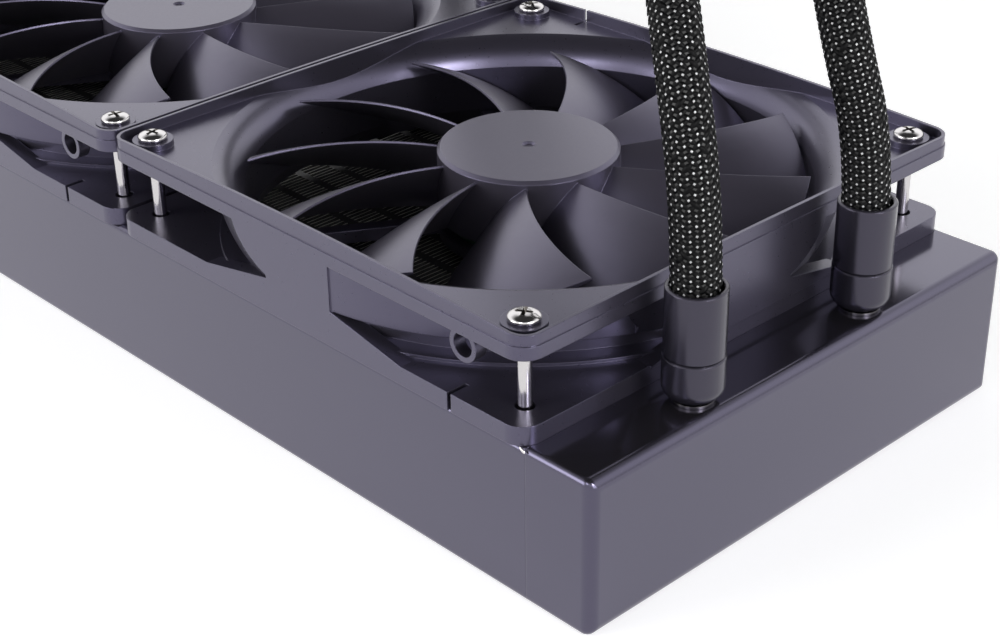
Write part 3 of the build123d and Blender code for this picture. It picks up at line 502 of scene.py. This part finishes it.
def addMath(tree, operation, *values):
    # a Math node fed by sockets or plain numbers
    node = tree.nodes.new("ShaderNodeMath")
    node.operation = operation
    for socket, value in zip(node.inputs, values):
        if isinstance(value, (int, float)):
            socket.default_value = value
        else:
            tree.links.new(value, socket)
    return node


grainStyle = {"detail": 3, "edgeSamples": 4}     # of the noise and of the softened edges


def grainGroup():
    # fine moulded or sprayed grain: a small change of colour, roughness and height, and softened edges
    group, start, end = newGroup("surfaceGrain", [
        ("Color", "NodeSocketColor", (0.05, 0.05, 0.05, 1)), ("Scale", "NodeSocketFloat", 900.0),
        ("Variation", "NodeSocketFloat", 0.06), ("Roughness", "NodeSocketFloat", 0.5),
        ("Height", "NodeSocketFloat", 0.00002), ("Edge", "NodeSocketFloat", 0.0)],
        [("Color", "NodeSocketColor"), ("Roughness", "NodeSocketFloat"), ("Normal", "NodeSocketVector")])
    place = group.nodes.new("ShaderNodeTexCoord")
    noise = group.nodes.new("ShaderNodeTexNoise")
    noise.inputs["Detail"].default_value = grainStyle["detail"]
    group.links.new(place.outputs["Object"], noise.inputs["Vector"])
    group.links.new(start.outputs["Scale"], noise.inputs["Scale"])
    centred = addMath(group, "SUBTRACT", noise.outputs["Fac"], 0.5)
    amount = addMath(group, "MULTIPLY", centred.outputs[0], start.outputs["Variation"])
    factor = addMath(group, "ADD", amount.outputs[0], 1.0)
    shade = group.nodes.new("ShaderNodeVectorMath")
    shade.operation = "SCALE"
    group.links.new(start.outputs["Color"], shade.inputs[0])
    group.links.new(factor.outputs[0], shade.inputs["Scale"])
    rough = addMath(group, "ADD", start.outputs["Roughness"], amount.outputs[0])
    rough.use_clamp = True
    edge = group.nodes.new("ShaderNodeBevel")
    edge.samples = grainStyle["edgeSamples"]
    group.links.new(start.outputs["Edge"], edge.inputs["Radius"])
    bump = group.nodes.new("ShaderNodeBump")
    bump.inputs["Strength"].default_value = 1.0
    group.links.new(edge.outputs["Normal"], bump.inputs["Normal"])
    group.links.new(noise.outputs["Fac"], bump.inputs["Height"])
    group.links.new(start.outputs["Height"], bump.inputs["Distance"])
    group.links.new(shade.outputs[0], end.inputs["Color"])
    group.links.new(rough.outputs[0], end.inputs["Roughness"])
    group.links.new(bump.outputs["Normal"], end.inputs["Normal"])
    return group


grain = grainGroup()

# scale and vary: the grain's fineness and strength; high: its height, and edge: the softened edge, in metres;
# shine, tint and ior: the clear skin's strength, colour and index
finishes = {
    "radiatorPaint": {"color": (0.018, 0.0165, 0.020), "rough": 0.15, "scale": 1400, "vary": 0.05,
                      "high": 0.0000015, "shine": 1.0, "tint": (0.71, 0.66, 1.0), "ior": 1.55,
                      "edge": 0.0004},
    "corePaint": {"color": (0.012, 0.012, 0.012), "rough": 0.5, "scale": 700, "vary": 0.2,
                  "high": 0.00001},
    # partly the bare metal of the cut edges, partly painted highlight: the light grey stands in for light
    # that the edges catch in the dark core
    "finEdge": {"color": (0.46, 0.46, 0.42), "rough": 0.4, "scale": 900, "vary": 0.8,
                "high": 0.00001},
    "fanPlastic": {"color": (0.024, 0.022, 0.030), "rough": 0.29, "scale": 1100, "vary": 0.08,
                   "high": 0.000004, "shine": 1.0, "tint": (0.71, 0.66, 1.0), "ior": 1.55,
                   "edge": 0.0003},
    "rotorPlastic": {"color": (0.041, 0.037, 0.049), "rough": 0.34, "scale": 1100, "vary": 0.08,
                     "high": 0.000004, "shine": 1.0, "tint": (0.71, 0.66, 1.0), "ior": 1.55,
                     "edge": 0.0003},
    "brightNickel": {"color": (0.50, 0.485, 0.49), "rough": 0.15, "metal": 1.0, "scale": 400,
                     "vary": 0.05, "high": 0.000002},
    # painted shade: the recess's darker nickel stands in for the shade deep in the cross
    "recessNickel": {"color": (0.07, 0.065, 0.06), "rough": 0.4, "metal": 1.0, "scale": 400,
                     "vary": 0.3, "high": 0.00001},
    "groundSteel": {"color": (0.55, 0.55, 0.56), "rough": 0.25, "metal": 1.0, "scale": 500,
                    "vary": 0.1, "high": 0.000004},
    "yokeSteel": {"color": (0.40, 0.40, 0.41), "rough": 0.4, "metal": 1.0, "scale": 500,
                  "vary": 0.15, "high": 0.00001},
    "ferrite": {"color": (0.06, 0.055, 0.055), "rough": 0.7, "scale": 900, "vary": 0.2,
                "high": 0.00003},
    "laminations": {"color": (0.28, 0.28, 0.30), "rough": 0.45, "metal": 1.0, "scale": 600,
                    "vary": 0.2, "high": 0.00002},
    "windings": {"color": (0.55, 0.20, 0.08), "rough": 0.35, "metal": 1.0, "scale": 800,
                 "vary": 0.2, "high": 0.00004},
    "boardLaminate": {"color": (0.02, 0.07, 0.035), "rough": 0.3, "scale": 500, "vary": 0.2,
                      "high": 0.00001},
    "bronze": {"color": (0.50, 0.33, 0.16), "rough": 0.5, "metal": 1.0, "scale": 900, "vary": 0.2,
               "high": 0.00002},
    "nylon": {"color": (0.75, 0.74, 0.70), "rough": 0.5, "scale": 600, "vary": 0.05,
              "high": 0.00001},
    "fittingBlack": {"color": (0.014, 0.013, 0.018), "rough": 0.24, "scale": 1400, "vary": 0.08,
                     "high": 0.000002, "shine": 0.65, "tint": (0.80, 0.75, 1.0), "edge": 0.0004},
    "collarRing": {"color": (0.12, 0.115, 0.12), "rough": 0.22, "metal": 1.0, "scale": 500,
                   "vary": 0.1, "high": 0.000004, "edge": 0.0002},
    "hoseCore": {"color": (0.004, 0.004, 0.004), "rough": 0.55, "scale": 500, "vary": 0.1,
                 "high": 0.00001},
    "hoseStrand": {"color": (0.002, 0.002, 0.0024), "rough": 0.45, "scale": 3000, "vary": 0.3,
                   "high": 0.00002, "shine": 0.08},
    # painted highlight: this light grey on the crowns stands in for glints of light on the glossy strands
    "hoseFleck": {"color": (0.42, 0.42, 0.43), "rough": 0.24, "scale": 600, "vary": 1.9,
                  "high": 0.00001, "shine": 1.0, "ior": 1.6},
    "copper": {"color": (0.72, 0.36, 0.22), "rough": 0.28, "metal": 1.0, "scale": 300, "vary": 0.1,
               "high": 0.00001},
    "rubber": {"color": (0.02, 0.02, 0.02), "rough": 0.75, "scale": 900, "vary": 0.1,
               "high": 0.00003},
    "pumpPlastic": {"color": (0.045, 0.043, 0.052), "rough": 0.5, "scale": 1100, "vary": 0.1,
                    "high": 0.00001},
    "wheelPlastic": {"color": (0.50, 0.50, 0.48), "rough": 0.35, "scale": 600, "vary": 0.1,
                     "high": 0.00001},
    "capBlack": {"color": (0.012, 0.012, 0.014), "rough": 0.12, "scale": 300, "vary": 0.1,
                 "high": 0.000002},
    "bracketSteel": {"color": (0.035, 0.035, 0.038), "rough": 0.45, "scale": 1400, "vary": 0.15,
                     "high": 0.00002},
}


def makeFinish(name, look):
    material = bpy.data.materials.new(name)
    material.use_nodes = True
    tree = material.node_tree
    shader = tree.nodes["Principled BSDF"]
    effect = tree.nodes.new("ShaderNodeGroup")
    effect.node_tree = grain
    effect.inputs["Color"].default_value = (*look["color"], 1)
    effect.inputs["Scale"].default_value = look["scale"]
    effect.inputs["Variation"].default_value = look["vary"]
    effect.inputs["Roughness"].default_value = look["rough"]
    effect.inputs["Height"].default_value = look["high"]
    effect.inputs["Edge"].default_value = look.get("edge", 0.0)
    for output, socket in (("Color", "Base Color"), ("Roughness", "Roughness"), ("Normal", "Normal")):
        tree.links.new(effect.outputs[output], shader.inputs[socket])
    shader.inputs["Metallic"].default_value = look.get("metal", 0.0)
    shader.inputs["Specular IOR Level"].default_value = look.get("shine", 0.5)
    shader.inputs["Specular Tint"].default_value = (*look.get("tint", (1, 1, 1)), 1)
    shader.inputs["IOR"].default_value = look.get("ior", 1.5)
    material.diffuse_color = (*look["color"], 1)
    return material


materials = {name: makeFinish(name, look) for name, look in finishes.items()}

slotFinish = {
    "radiator_paint": "radiatorPaint", "core_paint": "corePaint", "fan_plastic": "fanPlastic",
    "rotor_plastic": "rotorPlastic", "bright_steel": "brightNickel", "hardened_steel": "groundSteel",
    "yoke_steel": "yokeSteel", "ferrite": "ferrite", "lamination_steel": "laminations",
    "winding_copper": "windings", "board_laminate": "boardLaminate", "bearing_bronze": "bronze",
    "clip_nylon": "nylon", "fitting_black": "fittingBlack", "hose_braid": "hoseStrand", "copper": "copper",
    "rubber_black": "rubber", "pump_plastic": "pumpPlastic", "wheel_plastic": "wheelPlastic",
    "cap_black": "capBlack", "bracket_steel": "bracketSteel",
}
nodeSlot = {entry["node"]: entry["material_slot"] for entry in frame["record"]["subparts"]}
for name, node in nodes.items():
    give(node, materials[slotFinish[nodeSlot[name]]])

for name in ("near_fitting_collar", "far_fitting_collar"):
    give(nodes[name], materials["collarRing"])

for core, braid in hoses.values():
    give(core, materials["hoseCore"])
    for name in ("hoseStrand", "hoseFleck"):
        braid.data.materials.append(materials[name])
for name in ("corePaint", "finEdge"):
    fins.data.materials.append(materials[name])
for piece in screws.values():
    for name in ("brightNickel", "recessNickel"):
        piece.data.materials.append(materials[name])
give(bead, materials["brightNickel"])
print("finishes given")


# floor, world and lamps

studio = {
    "floorSize": 6.0,
    "floorColor": (0.86, 0.86, 0.87),
    "floorRough": 0.9,
    "floorShine": 0.1,
    "floorGlow": 0.57,         # the part of the floor's white that no shadow reaches
    "floorGloss": 0.80,        # the same as gloss sees it
    # the world's light, and as gloss sees it: sine of the elevation, strength
    "fill": [(0.0, 0.75), (0.50, 0.75), (0.85, 0.08)],
    "gloss": [(0.0, 0.85), (0.30, 1.70), (0.60, 1.70), (0.84, 0.05)],
    "brightest": 1.7,          # the highest of these strengths
}


def makeFloor():
    half = studio["floorSize"] / 2
    corners = [(-half, -half, 0), (half, -half, 0), (half, half, 0), (-half, half, 0)]
    floor = newObject("studioFloor", meshFrom("studioFloor", corners, [(0, 1, 2, 3)], smooth=False))
    material = bpy.data.materials.new("studioFloor")
    material.use_nodes = True
    tree = material.node_tree
    shader = tree.nodes["Principled BSDF"]
    shader.inputs["Base Color"].default_value = (*studio["floorColor"], 1)
    shader.inputs["Roughness"].default_value = studio["floorRough"]
    shader.inputs["Specular IOR Level"].default_value = studio["floorShine"]
    glow = tree.nodes.new("ShaderNodeEmission")
    ray = tree.nodes.new("ShaderNodeLightPath")
    seen = addMath(tree, "MULTIPLY", ray.outputs["Is Camera Ray"], studio["floorGlow"])
    gloss = addMath(tree, "MULTIPLY", ray.outputs["Is Glossy Ray"], studio["floorGloss"])
    amount = addMath(tree, "ADD", seen.outputs[0], gloss.outputs[0])
    tree.links.new(amount.outputs[0], glow.inputs["Strength"])
    both = tree.nodes.new("ShaderNodeAddShader")
    tree.links.new(shader.outputs[0], both.inputs[0])
    tree.links.new(glow.outputs[0], both.inputs[1])
    tree.links.new(both.outputs[0], tree.nodes["Material Output"].inputs["Surface"])
    give(floor, material)
    return floor


def skyBand(tree, height, stops):
    # a background whose strength follows the elevation, as in stops
    ramp = tree.nodes.new("ShaderNodeValToRGB")
    marks = ramp.color_ramp.elements
    while len(marks) < len(stops):
        marks.new(0.5)
    for mark, (place, level) in zip(marks, stops):
        share = level / studio["brightest"]
        mark.position = place
        mark.color = (share, share, share, 1)
    tree.links.new(height, ramp.inputs["Fac"])
    band = tree.nodes.new("ShaderNodeBackground")
    band.inputs["Strength"].default_value = studio["brightest"]
    tree.links.new(ramp.outputs["Color"], band.inputs["Color"])
    return band


def makeWorld():
    # bright studio walls all round, dark overhead; the camera sees plain white
    world = bpy.data.worlds.new("studioWorld")
    bpy.context.scene.world = world
    world.use_nodes = True
    tree = world.node_tree
    place = tree.nodes.new("ShaderNodeTexCoord")
    parts = tree.nodes.new("ShaderNodeSeparateXYZ")
    tree.links.new(place.outputs["Generated"], parts.inputs[0])
    ray = tree.nodes.new("ShaderNodeLightPath")
    walls = tree.nodes.new("ShaderNodeMixShader")
    tree.links.new(ray.outputs["Is Glossy Ray"], walls.inputs["Fac"])
    tree.links.new(skyBand(tree, parts.outputs["Z"], studio["fill"]).outputs[0], walls.inputs[1])
    tree.links.new(skyBand(tree, parts.outputs["Z"], studio["gloss"]).outputs[0], walls.inputs[2])
    white = tree.nodes["Background"]
    white.inputs["Color"].default_value = (1, 1, 1, 1)
    direct = addMath(tree, "MAXIMUM", ray.outputs["Is Camera Ray"], ray.outputs["Is Transmission Ray"])
    seen = tree.nodes.new("ShaderNodeMixShader")
    tree.links.new(direct.outputs[0], seen.inputs["Fac"])
    tree.links.new(walls.outputs[0], seen.inputs[1])
    tree.links.new(white.outputs[0], seen.inputs[2])
    tree.links.new(seen.outputs[0], tree.nodes["World Output"].inputs["Surface"])


# place, aim and size in metres, power in watts; the glints are seen in reflections only
lamps = {
    "leftWall": {"place": (-0.7, -1.6, 0.55), "aim": (0.05, 0, 0.05), "size": 1.0, "power": 16},
    "rightWall": {"place": (1.7, -0.1, 0.55), "aim": (0.1, 0, 0.05), "size": 1.0, "power": 14},
    "leftGlint": {"place": (0.55, -1.25, 1.0), "aim": (0.15, 0, 0.1), "size": 0.35, "power": 5,
                  "glossOnly": True},
    "rightGlint": {"place": (1.31, -0.14, 0.86), "aim": (0.15, 0, 0.1), "size": 0.3, "power": 9,
                   "glossOnly": True},
}


def makeLamps():
    for name, lamp in lamps.items():
        data = bpy.data.lights.new(name, "AREA")
        data.size = lamp["size"]
        data.energy = lamp["power"]
        light = bpy.data.objects.new(name, data)
        bpy.context.scene.collection.objects.link(light)
        light.location = lamp["place"]
        light.visible_diffuse = not lamp.get("glossOnly", False)
        aim = Vector(lamp["aim"]) - Vector(lamp["place"])
        light.rotation_euler = aim.to_track_quat("-Z", "Y").to_euler()


floor = makeFloor()
makeWorld()
makeLamps()
bpy.context.scene.view_settings.view_transform = "Standard"
print("stage lit")

bpy.context.view_layer.update()
